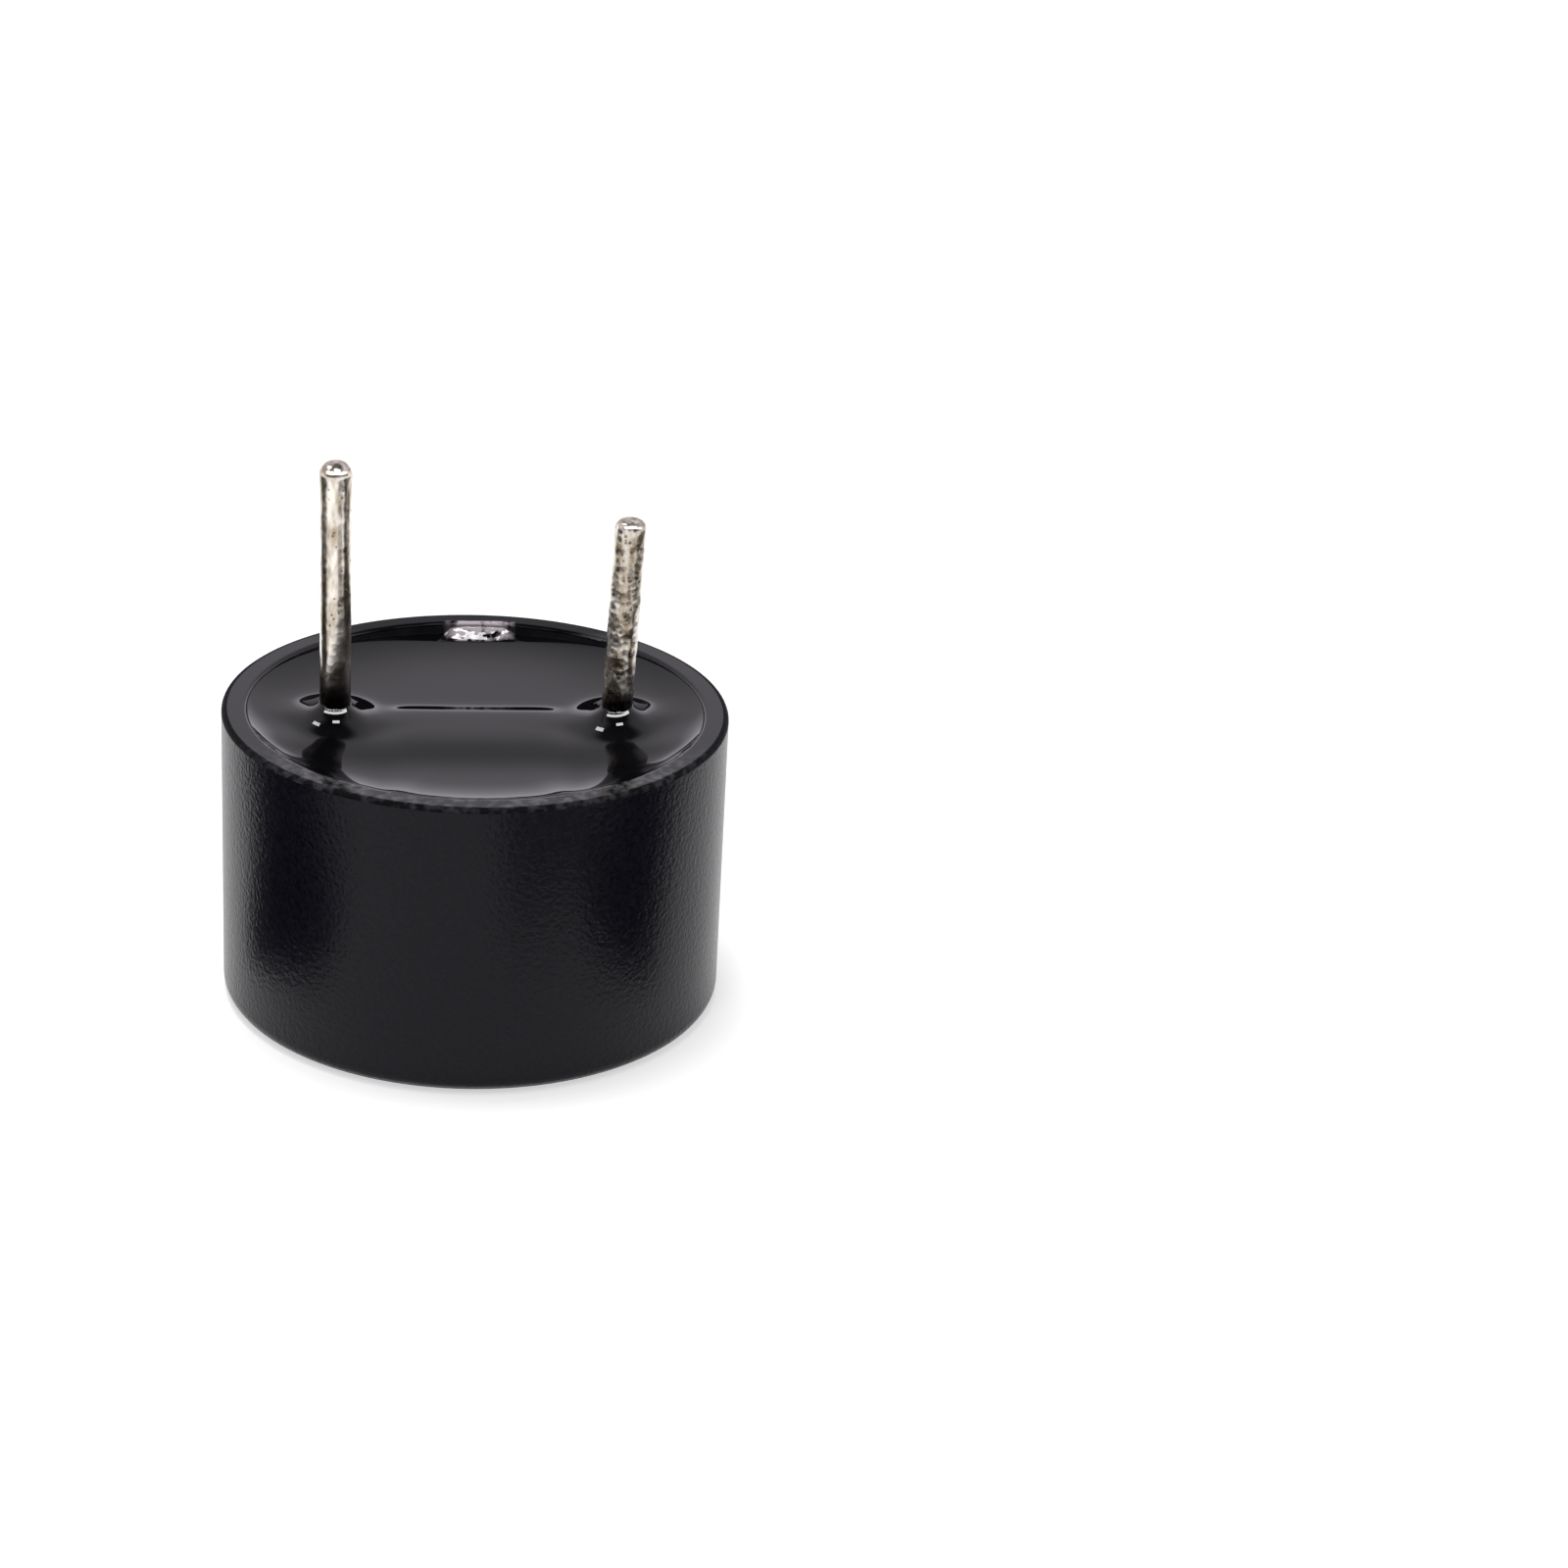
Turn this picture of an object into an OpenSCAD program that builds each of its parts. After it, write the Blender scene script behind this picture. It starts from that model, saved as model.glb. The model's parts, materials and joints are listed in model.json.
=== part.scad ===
// Round through-hole buzzer, standing on its sound face with its pins up.
// The origin is the centre of the sound face, and +Z runs through the body to the pins.
// The pins stand in line along X, the long positive one at -X. Sizes are in millimetres.

/* [Case] */
// Outside diameter of the case
case_d = 9; // [8.6:0.1:12]
// Height of the case from the sound face to the rim
case_h = 5.4; // [5:0.1:8]
// Thickness of the side wall
wall_t = 0.45; // [0.35:0.05:0.6]
// Thickness of the sound face
face_t = 0.5; // [0.4:0.05:0.8]
// Rounding of the edge round the sound face
face_edge_r = 0.25; // [0.1:0.05:0.35]
// Rounding of the rim's outer edge
rim_edge_r = 0.08; // [0.04:0.02:0.2]
// Rounding of the rim's inner edge
rim_inner_r = 0.07; // [0.03:0.01:0.1]
// Diameter of the sound hole
sound_hole_d = 2; // [1:0.1:3]
// Depth of the air chamber behind the sound face
chamber_h = 0.85; // [0.6:0.05:1.2]
// How far the chamber's shoulder reaches over the diaphragm's edge
shoulder_lap = 0.25; // [0.1:0.05:0.4]

/* [Polarity mark] */
// Outside diameter of the ring round the plus sign
mark_d = 2.2; // [1.6:0.1:2.6]
// Width of the lines of the ring and the plus sign
mark_line = 0.25; // [0.15:0.05:0.35]
// Space between the ring and the tips of the plus sign
plus_gap = 0.15; // [0.05:0.05:0.3]
// Depth of the mark in the sound face
mark_depth = 0.1; // [0.05:0.05:0.2]
// Plain face between the mark and the case's edge
mark_margin = 0.55; // [0.4:0.05:0.8]

/* [Diaphragm] */
// Thickness of the diaphragm
diaphragm_t = 0.07; // [0.04:0.01:0.12]
// Diameter of the armature disc on the diaphragm
armature_d = 3.2; // [2:0.1:4]
// Thickness of the armature disc
armature_t = 0.3; // [0.2:0.05:0.5]
// Air gap between the diaphragm and the pole core
pole_gap = 0.15; // [0.08:0.01:0.3]

/* [Support ring] */
// Thickness of the ring's outer wall
ring_wall_t = 0.3; // [0.2:0.05:0.5]
// Width of the ledge that carries the diaphragm
ledge_w = 0.5; // [0.3:0.05:0.8]
// Thickness of the ledge
ledge_t = 0.3; // [0.2:0.05:0.5]
// Depth of the ledge behind the ring's front edge
ledge_drop = 0.25; // [0.15:0.01:0.4]

/* [Magnet and coil] */
// Width of the magnet ring from its bore to its outside
magnet_w = 0.8; // [0.5:0.1:1.2]
// Thickness of the yoke plate
yoke_t = 0.35; // [0.2:0.05:0.6]
// Diameter of the pole core inside the coil
core_d = 1.5; // [1.2:0.1:2]
// Diameter of the core's rivet end in the yoke plate
rivet_d = 1; // [0.6:0.1:1.2]
// How far the coil stops short of the pole core's face
coil_setback = 0.15; // [0.05:0.05:0.4]
// Space between the coil and the magnet ring
coil_gap = 0.2; // [0.1:0.05:0.4]
// Build-up of the inner feedback winding
feedback_t = 0.3; // [0.2:0.05:0.5]
// Diameter of the coil's wire ends
wire_d = 0.12; // [0.08:0.01:0.2]
// How far the wire ends leave the coil inside its outer edge
wire_inset = 0.25; // [0.15:0.05:0.4]

/* [Circuit board] */
// Thickness of the board
board_t = 0.5; // [0.4:0.1:0.8]
// Length of the transistor's body
transistor_l = 2.9; // [2.6:0.1:3.1]
// Width of the transistor's body
transistor_w = 1.3; // [1.2:0.1:1.5]
// Height of the transistor's body
transistor_h = 0.9; // [0.7:0.05:1.1]
// Distance of the transistor from the line of the pins
transistor_y = 1.6; // [1.5:0.1:1.9]
// Spacing of the transistor's leads
tlead_pitch = 0.95; // [0.9:0.05:1]
// Width of the transistor's leads
tlead_w = 0.4; // [0.3:0.05:0.5]
// Thickness of the transistor's leads
tlead_t = 0.12; // [0.08:0.01:0.18]
// Reach of the transistor's leads beyond its body
tlead_reach = 0.55; // [0.45:0.05:0.65]
// Length of the resistor
resistor_l = 1.6; // [1:0.1:1.8]
// Width of the resistor
resistor_w = 0.8; // [0.5:0.1:1]
// Height of the resistor
resistor_h = 0.45; // [0.3:0.05:0.6]
// Distance of the resistor from the line of the pins
resistor_y = 1.6; // [1.3:0.1:2]
// Length of the resistor's end caps
cap_l = 0.3; // [0.2:0.05:0.4]
// Thickness of the end caps' metal
cap_t = 0.04; // [0.02:0.01:0.08]

/* [Pins] */
// Spacing of the two pins where they leave the resin
pin_pitch = 5; // [4.4:0.1:6]
// Diameter of the tinned pins
pin_d = 0.55; // [0.45:0.05:0.7]
// Diameter of the wire at the board, where the tin thins out
root_d = 0.5; // [0.4:0.02:0.54]
// Reach of the long pin above the rim
long_pin_l = 4.55; // [3:0.05:8]
// Reach of the short pin above the rim
short_pin_l = 3.55; // [2:0.05:7]
// Outward lean of the short pin in degrees
pin_lean = 2.3; // [0:0.1:5]
// Rounding of the long pin's domed tip
long_tip_r = 0.24; // [0.1:0.01:0.27]
// Rounding of the short pin's flatter tip
short_tip_r = 0.14; // [0.06:0.01:0.22]
// Height of the solder round the pins on the board
solder_h = 0.5; // [0.3:0.05:0.7]
// Width of the solder round the pins at the board
solder_w = 0.35; // [0.2:0.05:0.45]

/* [Resin] */
// Depth of the resin's surface below the rim
resin_drop = 0.35; // [0.2:0.05:0.8]
// Resin over the top of the transistor
resin_cover = 0.15; // [0.1:0.05:0.4]
// Climb of the resin up the pins
collar_h = 0.38; // [0.2:0.02:0.7]
// Spread of that climb round the pins
collar_w = 0.45; // [0.25:0.05:0.7]
// Climb of the resin up the case's wall
wick_h = 0.15; // [0.05:0.01:0.18]
// Spread of that climb along the wall
wick_w = 0.6; // [0.2:0.05:0.8]

/* [Clearances] */
// Radial play of the pieces that drop into the case
slip_gap = 0.05; // [0.02:0.01:0.08]
// Radial play between the windings and the core
winding_gap = 0.02; // [0.01:0.01:0.05]
// Radial play round a pin in the board
pin_hole_gap = 0.08; // [0.05:0.01:0.12]
// Radial play round a wire end in the yoke and the board
wire_hole_gap = 0.1; // [0.05:0.01:0.15]
// How far a pin stops short of the board's front
foot_inset = 0.1; // [0.05:0.05:0.3]

/* [Hidden] */
$fn = 96;

// Steps in a quarter of a rounded edge, and in a climbing edge of resin
edge_steps = 8;
climb_steps = 10;
// A cut starts this far outside the face that it opens
cut_over = 0.1;

// Radii, from the case's wall inwards
case_r = case_d / 2;
bore_r = case_r - wall_t;
slip_r = bore_r - slip_gap;
pocket_r = slip_r - ring_wall_t;
diaphragm_r = pocket_r - slip_gap;
ledge_r = pocket_r - ledge_w;
chamber_r = diaphragm_r - shoulder_lap;
magnet_r = pocket_r - slip_gap;
magnet_bore_r = magnet_r - magnet_w;
coil_r = magnet_bore_r - coil_gap;
core_r = core_d / 2;
feedback_bore_r = core_r + winding_gap;
feedback_r = feedback_bore_r + feedback_t;
drive_bore_r = feedback_r + winding_gap;
pin_r = pin_d / 2;

// Levels, from the sound face up to the pole core
z_seat = face_t + chamber_h;
z_ledge = z_seat + ledge_drop;
z_diaphragm = z_ledge - diaphragm_t;
z_armature = z_diaphragm - armature_t;
z_magnet = z_ledge + ledge_t;
z_pole = z_ledge + pole_gap;
z_coil = z_pole + coil_setback;

// Levels, from the rim down to the yoke, so that the coil takes up the height that is left
z_resin = case_h - resin_drop;
z_board_back = z_resin - resin_cover - transistor_h;
z_board_front = z_board_back - board_t;
z_yoke = z_board_front - yoke_t;
z_exit = z_resin + collar_h;
z_foot = z_board_front + foot_inset;

// The mark lies beside the long pin, a margin in from the edge
mark_x = -(case_r - mark_margin - mark_d / 2);
plus_l = mark_d - 2 * mark_line - 2 * plus_gap;

// Directions in which the coil's three wire ends lie, clear of the parts on the board
wire_angles = [205, 227, 313];
wire_r = coil_r - wire_inset;
wire_hole_d = wire_d + 2 * wire_hole_gap;
wire_solder_h = 0.2;
wire_solder_d = 0.5;

// The transistor's leads: along X and the side that they leave by
tlead_places = [[-tlead_pitch, -1], [tlead_pitch, -1], [0, 1]];
tlead_run = 0.24;
tlead_grip = 0.2;
transistor_draft = 0.08;

// The resin's collars start this far under the flat surface and end in a lip round the pin
collar_sink = 0.06;
collar_lip = 0.03;
climb_power = 2.6;

// Points along an arc round centre c
function arc(c, r, from, to, n = edge_steps) =
    [for (i = [0:n]) let (a = from + (to - from) * i / n) c + r * [cos(a), sin(a)]];

// Outline of a bar with round ends
function bar_outline(l, w) = concat(
    arc([(l - w) / 2, 0], w / 2, -90, 90),
    arc([(w - l) / 2, 0], w / 2, 90, 270)
);

// Where the axis of a leaning pin lies along X at height z
function pin_x(x, lean, z) = x + (z - z_exit) * tan(lean);

// Half section of the cup, from the sound hole round the outside and back inside
function case_outline() = concat(
    [[sound_hole_d / 2, 0]],
    arc([case_r - face_edge_r, face_edge_r], face_edge_r, -90, 0),
    arc([case_r - rim_edge_r, case_h - rim_edge_r], rim_edge_r, 0, 90),
    arc([bore_r + rim_inner_r, case_h - rim_inner_r], rim_inner_r, 90, 180),
    [[bore_r, z_seat], [chamber_r, z_seat], [chamber_r, face_t], [sound_hole_d / 2, face_t]]
);

// Half section of the resin, with its edge climbing the wall
function resin_outline() = concat(
    [[0, z_board_back], [bore_r, z_board_back]],
    [for (i = [0:climb_steps]) let (t = i / climb_steps)
        [bore_r - wick_w * t, z_resin + wick_h * pow(1 - t, climb_power)]],
    [[0, z_resin]]
);

// Half section of the resin's collar round a pin, measured from where the pin leaves it
function collar_outline() = let (climb = collar_h + collar_sink, low = -climb - collar_sink) concat(
    [[0, low], [pin_r + collar_w, low]],
    [for (i = [climb_steps:-1:0]) let (t = i / climb_steps)
        [pin_r + collar_lip + (collar_w - collar_lip) * t, climb * (pow(1 - t, climb_power) - 1)]],
    [[0, 0]]
);

// Half section of a pin, measured from where it leaves the resin: a tapered root, then the tinned wire
function pin_outline(free_l, tip_r) = concat(
    [[0, z_foot - z_exit], [root_d / 2, z_foot - z_exit], [pin_r, 0]],
    arc([pin_r - tip_r, free_l - tip_r], tip_r, 0, 90),
    [[0, free_l]]
);

module tube(r, bore, z0, z1) {
    rotate_extrude() translate([bore, z0]) square([r - bore, z1 - z0]);
}

// Places a piece on the axis of a pin, at the point where the pin leaves the resin
module on_pin(x, lean) {
    translate([x, 0, z_exit]) rotate([0, lean, 0]) children();
}

module pin(x, lean, reach, tip_r) {
    free_l = (case_h + reach - z_exit) / cos(lean);
    on_pin(x, lean) rotate_extrude() polygon(pin_outline(free_l, tip_r));
}

module collar(x, lean) {
    on_pin(x, lean) rotate_extrude() polygon(collar_outline());
}

module at_wire_ends(z) {
    for (a = wire_angles) translate([wire_r * cos(a), wire_r * sin(a), z]) children();
}

module wire_holes(z0, z1) {
    at_wire_ends(z0 - cut_over) cylinder(d = wire_hole_d, h = z1 - z0 + 2 * cut_over);
}

module polarity_mark() {
    difference() {
        circle(d = mark_d);
        circle(d = mark_d - 2 * mark_line);
    }
    for (a = [0, 90]) rotate(a) polygon(bar_outline(plus_l, mark_line));
}

module case() {
    color("#1d1d21") difference() {
        rotate_extrude() polygon(case_outline());
        translate([mark_x, 0, -cut_over]) linear_extrude(mark_depth + cut_over) polarity_mark();
    }
}

module armature_disc() {
    color("#e2c9a4") translate([0, 0, z_armature]) cylinder(d = armature_d, h = armature_t);
}

module diaphragm() {
    color("#b9b6ad") translate([0, 0, z_diaphragm]) cylinder(r = diaphragm_r, h = diaphragm_t);
}

module support_ring() {
    color("#3a3a3c") {
        rotate_extrude() polygon([
            [slip_r, z_seat], [slip_r, z_yoke], [pocket_r, z_yoke], [pocket_r, z_magnet],
            [ledge_r, z_magnet], [ledge_r, z_ledge], [pocket_r, z_ledge], [pocket_r, z_seat]
        ]);
    }
}

module magnet_ring() {
    color("#55524e") tube(magnet_r, magnet_bore_r, z_magnet, z_yoke);
}

module pole_core() {
    color("#8f8d88") rotate_extrude() polygon([
        [0, z_pole], [core_r, z_pole], [core_r, z_yoke],
        [rivet_d / 2, z_yoke], [rivet_d / 2, z_board_front], [0, z_board_front]
    ]);
}

module yoke_plate() {
    color("#9a9893") difference() {
        tube(slip_r, rivet_d / 2, z_yoke, z_board_front);
        wire_holes(z_yoke, z_board_front);
    }
}

module feedback_winding() {
    color("#a8602c") tube(feedback_r, feedback_bore_r, z_coil, z_yoke);
}

module drive_winding() {
    color("#b86a30") tube(coil_r, drive_bore_r, z_coil, z_yoke);
}

module coil_leads() {
    lead_l = z_board_back + wire_solder_h / 2 - z_yoke;
    color("#b86a30") at_wire_ends(z_yoke) cylinder(d = wire_d, h = lead_l);
}

module circuit_board() {
    color("#3f6b45") difference() {
        translate([0, 0, z_board_front]) cylinder(r = slip_r, h = board_t);
        wire_holes(z_board_front, z_board_back);
        for (p = [[-pin_pitch / 2, 0], [pin_pitch / 2, pin_lean]])
            translate([pin_x(p[0], p[1], z_board_back), 0, z_board_front - cut_over])
                cylinder(d = pin_d + 2 * pin_hole_gap, h = board_t + 2 * cut_over);
    }
}

module coil_solder() {
    color("#c7c6c2") difference() {
        at_wire_ends(z_board_back) cylinder(d1 = wire_solder_d, d2 = wire_solder_d / 2, h = wire_solder_h);
        coil_leads();
    }
}

module transistor_leads() {
    mid = (transistor_h - tlead_t) / 2;
    lead = [
        [-tlead_grip, mid], [-tlead_grip, mid + tlead_t], [tlead_run, mid + tlead_t], [tlead_run, tlead_t],
        [tlead_reach, tlead_t], [tlead_reach, 0], [tlead_run - tlead_t, 0], [tlead_run - tlead_t, mid]
    ];
    color("#c7c6c2") translate([0, transistor_y, z_board_back])
        for (p = tlead_places) translate([p[0], p[1] * transistor_w / 2, 0]) scale([1, p[1], 1])
            rotate([90, 0, 90]) linear_extrude(tlead_w, center = true) polygon(lead);
}

module transistor_body() {
    side = transistor_w / 2;
    edge = side - transistor_draft;
    color("#202022") difference() {
        translate([0, transistor_y, z_board_back]) rotate([90, 0, 90])
            linear_extrude(transistor_l, center = true) polygon([
                [-edge, 0], [edge, 0], [side, transistor_h / 2],
                [edge, transistor_h], [-edge, transistor_h], [-side, transistor_h / 2]
            ]);
        transistor_leads();
    }
}

module resistor_body() {
    color("#e9e6df") translate([0, -resistor_y, z_board_back + (resistor_h - cap_t) / 2])
        cube([resistor_l - 2 * cap_t, resistor_w - 2 * cap_t, resistor_h - cap_t], center = true);
}

module resistor_caps() {
    color("#c7c6c2") difference() {
        translate([0, -resistor_y, z_board_back + resistor_h / 2])
            for (s = [-1, 1]) translate([s * (resistor_l - cap_l) / 2, 0, 0])
                cube([cap_l, resistor_w, resistor_h], center = true);
        resistor_body();
    }
}

module pin_solder() {
    color("#c7c6c2") difference() {
        for (p = [[-pin_pitch / 2, 0], [pin_pitch / 2, pin_lean]])
            translate([pin_x(p[0], p[1], z_board_back), 0, z_board_back])
                cylinder(r1 = pin_r + solder_w, r2 = pin_r + solder_w / 6, h = solder_h);
        positive_pin();
        negative_pin();
    }
}

module positive_pin() {
    color("#c9c4bb") pin(-pin_pitch / 2, 0, long_pin_l, long_tip_r);
}

module negative_pin() {
    color("#c9c4bb") pin(pin_pitch / 2, pin_lean, short_pin_l, short_tip_r);
}

module potting_resin() {
    color("#2a2a2e") difference() {
        union() {
            rotate_extrude() polygon(resin_outline());
            collar(-pin_pitch / 2, 0);
            collar(pin_pitch / 2, pin_lean);
        }
        positive_pin();
        negative_pin();
        pin_solder();
        coil_solder();
        coil_leads();
        transistor_body();
        transistor_leads();
        resistor_body();
        resistor_caps();
    }
}

case();
armature_disc();
diaphragm();
support_ring();
magnet_ring();
pole_core();
yoke_plate();
feedback_winding();
drive_winding();
coil_leads();
circuit_board();
coil_solder();
transistor_body();
transistor_leads();
resistor_body();
resistor_caps();
pin_solder();
positive_pin();
negative_pin();
potting_resin();
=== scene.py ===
# %% [markdown]
# # A round through-hole buzzer
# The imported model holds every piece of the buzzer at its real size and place. This lesson leaves them
# there. It gives the pieces that show a finer surface, worked out with numpy, and gives every piece a
# finish. Lengths below are in millimetres, and only the mesh builders turn them into Blender's metres.

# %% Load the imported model
import json

import bpy
import numpy as np
from mathutils import Matrix, Vector


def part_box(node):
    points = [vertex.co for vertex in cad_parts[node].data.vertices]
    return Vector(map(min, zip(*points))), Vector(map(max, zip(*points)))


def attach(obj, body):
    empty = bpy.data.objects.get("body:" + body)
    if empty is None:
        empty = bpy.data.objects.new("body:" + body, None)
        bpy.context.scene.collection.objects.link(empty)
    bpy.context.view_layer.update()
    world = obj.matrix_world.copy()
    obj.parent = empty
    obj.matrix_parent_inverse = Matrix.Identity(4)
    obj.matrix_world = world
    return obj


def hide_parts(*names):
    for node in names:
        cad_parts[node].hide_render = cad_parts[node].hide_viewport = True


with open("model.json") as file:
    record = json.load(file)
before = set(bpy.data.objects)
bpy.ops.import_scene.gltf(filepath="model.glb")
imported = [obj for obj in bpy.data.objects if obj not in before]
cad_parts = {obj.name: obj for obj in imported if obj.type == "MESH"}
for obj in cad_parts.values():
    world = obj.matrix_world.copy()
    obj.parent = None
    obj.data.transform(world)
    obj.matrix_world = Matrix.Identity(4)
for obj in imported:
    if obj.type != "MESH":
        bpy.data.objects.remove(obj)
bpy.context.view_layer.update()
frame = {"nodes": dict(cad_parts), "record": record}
MM = 0.001
print("packed nodes:", len(frame["nodes"]))

# %% [markdown]
# ## Sizes
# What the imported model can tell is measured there: the case's radius and height, the resin's outer
# radius, the board's level, and the line and thickness of each pin, which the record states as mounts.
# Only the air chamber, the roundings, the mark and the level at which the pins leave the resin are
# repeated here as plain sizes.

# %% Sizes of the case, the resin and the pins
def box_mm(node):
    """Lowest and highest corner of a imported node, in millimetres."""
    return [np.array(corner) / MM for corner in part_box(node)]


mounts = {mount["name"]: mount for mount in frame["record"]["mounts"]}
case_r, _, case_h = box_mm("case")[1]
bore_r = box_mm("potting_resin")[1][0]
board_z = box_mm("circuit_board")[1][2]
foot_z = box_mm("positive_pin")[0][2]
seat_z = box_mm("support_ring")[0][2]
hole_r = mounts["sound_port"]["dims"]["r_mm"]
face_t = mounts["sound_port"]["dims"]["length_mm"]
pin_r = mounts["positive_pin"]["dims"]["r_mm"]

chamber_r = 3.4
face_edge_r = 0.25
rim_outer_r = 0.08
rim_inner_r = 0.07
small_edge_r = 0.04

mark_d = 2.2
mark_line = 0.25
mark_plus_l = 1.4
mark_depth = 0.1
mark_margin = 0.55
mark_x = -(case_r - mark_margin - mark_d / 2)

collar_rise = 0.03
exit_z = case_h + collar_rise
print(f"case {2 * case_r:.2f} x {case_h:.2f} mm, bore {2 * bore_r:.2f} mm, pins {2 * pin_r:.2f} mm")

# %% [markdown]
# ## Camera
# The camera was fitted to the outline of the rim, the foot and the pins in the photograph, so it has the
# same distance, turn, tilt and roll as the real one. The focal length was found in pixels of a picture
# 1600 pixels wide, and a sensor of 36 mm turns it into a lens.

# %% Camera
picture_px = 1600
focal_px = 3785.3
sensor_mm = 36
near_clip = 1
camera_place = np.array([-1.882, -61.123, 31.027])
turn, tilt, roll = np.radians([-6.965, 23.762, -3.242])

forward = np.array([-np.sin(turn) * np.cos(tilt), np.cos(turn) * np.cos(tilt), -np.sin(tilt)])
level_right = np.array([np.cos(turn), np.sin(turn), 0])
level_down = np.cross(forward, level_right)
right = np.cos(roll) * level_right + np.sin(roll) * level_down
down = np.cos(roll) * level_down - np.sin(roll) * level_right

camera = bpy.data.objects.new("camera", bpy.data.cameras.new("camera"))
camera.data.sensor_width = sensor_mm
camera.data.lens = focal_px * sensor_mm / picture_px
camera.data.clip_start = near_clip * MM
camera_frame = np.eye(4)
camera_frame[:3] = np.stack([right, -down, -forward, camera_place * MM], axis=1)
camera.matrix_world = Matrix(camera_frame.tolist())
bpy.context.scene.collection.objects.link(camera)
bpy.context.scene.camera = camera
bpy.context.scene.view_settings.view_transform = "Standard"
print(f"lens {camera.data.lens:.1f} mm")

# %% [markdown]
# ## Tools for surfaces
# Every new piece is a grid of points: rows follow a profile, columns go round an axis. A few small tools
# are enough. One spreads places along a line and crowds them where detail is needed. One rounds the
# corners of a profile, and one turns it round the axis. The last puts a grid into a closed mesh, and
# turns it the right way out by the sign of its volume.

# %% Spread, round and turn
def spread(low, high, count, crowd, fine_steps=4001):
    """count places from low to high, close together where crowd is large: even steps of its running sum."""
    fine = np.linspace(low, high, fine_steps)
    run = np.concatenate([[0], np.cumsum(crowd(fine)[:-1] + crowd(fine)[1:])])
    return np.interp(np.linspace(0, run[-1], count), run, fine)


def hump(x, centre, half_width):
    """1 round centre and 0 away from it, flat with soft shoulders: exp of minus the eighth power."""
    return np.exp(-(((x - centre) / half_width) ** 8))


def rounded(corners, radii, rows, closed, arc_steps=6, hold=0.02, most_hold=0.3):
    """Profile (n, 2) through corners, with a true arc of each radius and rows points on each stretch.

    An arc is the rational quadratic curve whose control point is the corner and whose middle weight is the
    sine of half the corner's angle. Two more points, hold from each end of a stretch, keep its shading
    flat. On a short stretch they keep to a share of its length, most_hold.
    """
    corners = np.array(corners, float)
    t = np.linspace(0, 1, arc_steps + 1)[:, None]
    arcs = []
    befores, afters = np.roll(corners, 1, 0), np.roll(corners, -1, 0)
    for corner, before, after, radius in zip(corners, befores, afters, radii):
        back = (before - corner) / np.linalg.norm(before - corner)
        ahead = (after - corner) / np.linalg.norm(after - corner)
        half = np.arccos(np.clip(back @ ahead, -1, 1)) / 2
        start, end = corner + np.stack([back, ahead]) * radius / np.tan(half)
        weights = np.hstack([(1 - t) ** 2, 2 * np.sin(half) * t * (1 - t), t ** 2])
        arc = weights @ np.stack([start, corner, end]) / weights.sum(1, keepdims=True)
        arcs.append(arc if radius > 0 else corner[None])
    points = []
    stretches = len(corners) if closed else len(corners) - 1
    for i, count in zip(range(stretches), rows):
        start, end = arcs[i][-1], arcs[(i + 1) % len(arcs)][0]
        margin = min(hold / np.linalg.norm(end - start), most_hold)
        inner = np.linspace(margin, 1 - margin, count + 2)[1:-1]
        u = np.concatenate([[margin], inner, [1 - margin]])[:, None]
        points += [arcs[i], start + (end - start) * u]
    if not closed:
        points.append(arcs[-1])
    return np.vstack(points)


def revolve(profile, angles):
    """Grid (rows, columns, 3) of a profile of radius and height turned round Z."""
    radius, height = profile[:, :1], profile[:, 1:]
    return np.stack([radius * np.cos(angles), radius * np.sin(angles), height + 0 * angles], axis=-1)


# %% Mesh
def closed_piece(name, grid, ring, finishes, row_finish=None):
    """Object with a closed mesh from a grid in millimetres, whose columns join round.

    With ring the last row joins the first, as on a tyre. Otherwise a point at the middle of the first row
    and one at the middle of the last row close the ends. row_finish gives the number of the finish of each
    row of faces.
    """
    rows, columns = grid.shape[:2]
    index = np.arange(rows * columns).reshape(rows, columns)
    loops = np.vstack([index, index[:1]]) if ring else index
    here, there = loops[:-1], loops[1:]
    quads = np.stack([here, there, np.roll(there, -1, 1), np.roll(here, -1, 1)], -1).reshape(-1, 4)
    points = grid.reshape(-1, 3)
    fans = np.zeros((0, 3), int)
    if not ring:
        points = np.vstack([points, grid[0].mean(0), grid[-1].mean(0)])
        first, last = rows * columns + np.zeros((2, columns), int) + [[0], [1]]
        fans = np.vstack([
            np.stack([first, index[0], np.roll(index[0], -1)], -1),
            np.stack([last, np.roll(index[-1], -1), index[-1]], -1),
        ])
    corners = np.vstack([quads[:, [0, 1, 2]], quads[:, [0, 2, 3]], fans])
    a, b, c = points[corners[:, 0]], points[corners[:, 1]], points[corners[:, 2]]
    volume = np.einsum("ij,ij->", a, np.cross(b, c)) / 6
    if volume < 0:
        quads, fans = quads[:, ::-1], fans[:, ::-1]
    mesh = bpy.data.meshes.new(name)
    mesh.from_pydata(points * MM, [], quads.tolist() + fans.tolist())
    mesh.shade_smooth()
    for finish in finishes:
        mesh.materials.append(finish)
    if row_finish is not None:
        mesh.polygons.foreach_set("material_index", np.repeat(row_finish, columns).astype(np.int32))
    piece = bpy.data.objects.new(name, mesh)
    bpy.context.scene.collection.objects.link(piece)
    print(f"{name}: {len(corners)} triangles, {abs(volume):.2f} mm3")
    return piece


def stand_for(piece, node):
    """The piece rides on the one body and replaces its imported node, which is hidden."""
    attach(piece, "root")
    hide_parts(node)


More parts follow.
